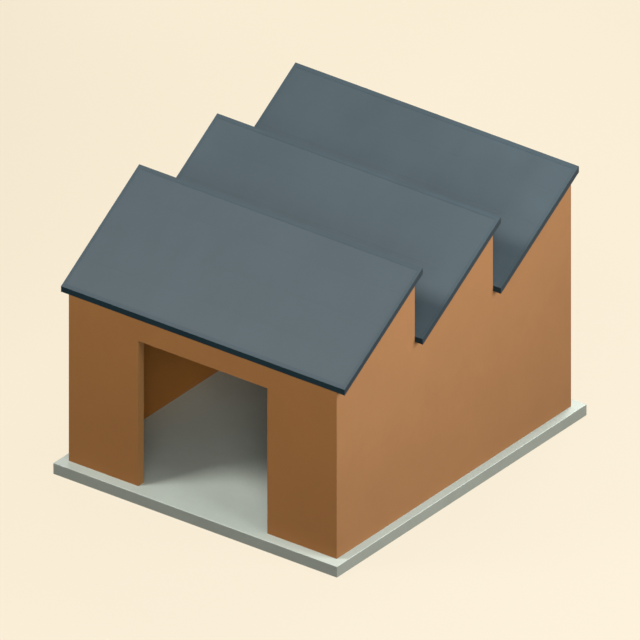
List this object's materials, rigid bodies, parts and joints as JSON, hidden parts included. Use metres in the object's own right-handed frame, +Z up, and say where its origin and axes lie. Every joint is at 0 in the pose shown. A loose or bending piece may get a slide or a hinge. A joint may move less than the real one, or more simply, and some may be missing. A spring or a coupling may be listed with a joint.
{
  "type": "sawtooth roof workshop",
  "caption": "Low masonry workshop on a concrete slab, with a sawtooth roof of sloping slabs that end in glazed upright faces, and a wide open doorway in front.",
  "frame": {"origin": "middle of the slab's underside, at ground level", "axes": "+Z up, the doorway faces -Y, the roof's ridges run along X"},
  "size_m": [8.52, 10, 6.9907],
  "materials": {
    "concrete": "floated concrete, pale grey",
    "wall_render": "fine sand render, ochre brown",
    "roof_membrane": "smooth membrane, blue grey, slight sheen",
    "roof_trim_metal": "powder coated, dark blue grey",
    "cast_stone": "smooth cast stone",
    "timber": "planed softwood",
    "fascia_paint": "painted board, dark blue grey",
    "beam_paint": "grey primer",
    "frame_paint": "satin paint, dark blue grey",
    "glazing": "clear double glazing"
  },
  "bodies": {
    "root": {"floor_slab": "concrete", "front_lintel": "wall_render", "front_wall_left": "wall_render", "front_wall_plate": "timber", "front_wall_right": "wall_render", "head_fascia_1": "fascia_paint", "head_fascia_2": "fascia_paint", "head_fascia_3": "fascia_paint", "left_wall": "wall_render", "north_light_frame_1": "frame_paint", "north_light_frame_2": "frame_paint", "north_light_frame_3": "frame_paint", "north_light_glass_1": "glazing", "north_light_glass_2": "glazing", "north_light_glass_3": "glazing", "north_light_sill_1": "cast_stone", "north_light_sill_2": "cast_stone", "north_light_sill_3": "cast_stone", "rafters_1": "timber", "rafters_2": "timber", "rafters_3": "timber", "rear_wall": "wall_render", "ridge_beam_1": "beam_paint", "ridge_beam_2": "beam_paint", "ridge_beam_3": "beam_paint", "ridge_cleats_1": "beam_paint", "ridge_cleats_2": "beam_paint", "ridge_cleats_3": "beam_paint", "right_wall": "wall_render", "roof_covering_1": "roof_membrane", "roof_covering_2": "roof_membrane", "roof_covering_3": "roof_membrane", "roof_deck_1": "timber", "roof_deck_2": "timber", "roof_deck_3": "timber", "roof_trim_1": "roof_trim_metal", "roof_trim_2": "roof_trim_metal", "roof_trim_3": "roof_trim_metal", "valley_beam_1": "beam_paint", "valley_beam_2": "beam_paint", "valley_flashing_1": "roof_trim_metal", "valley_flashing_2": "roof_trim_metal", "valley_pads": "concrete", "valley_upstand_1": "timber", "valley_upstand_2": "timber"}
  },
  "joints": []
}
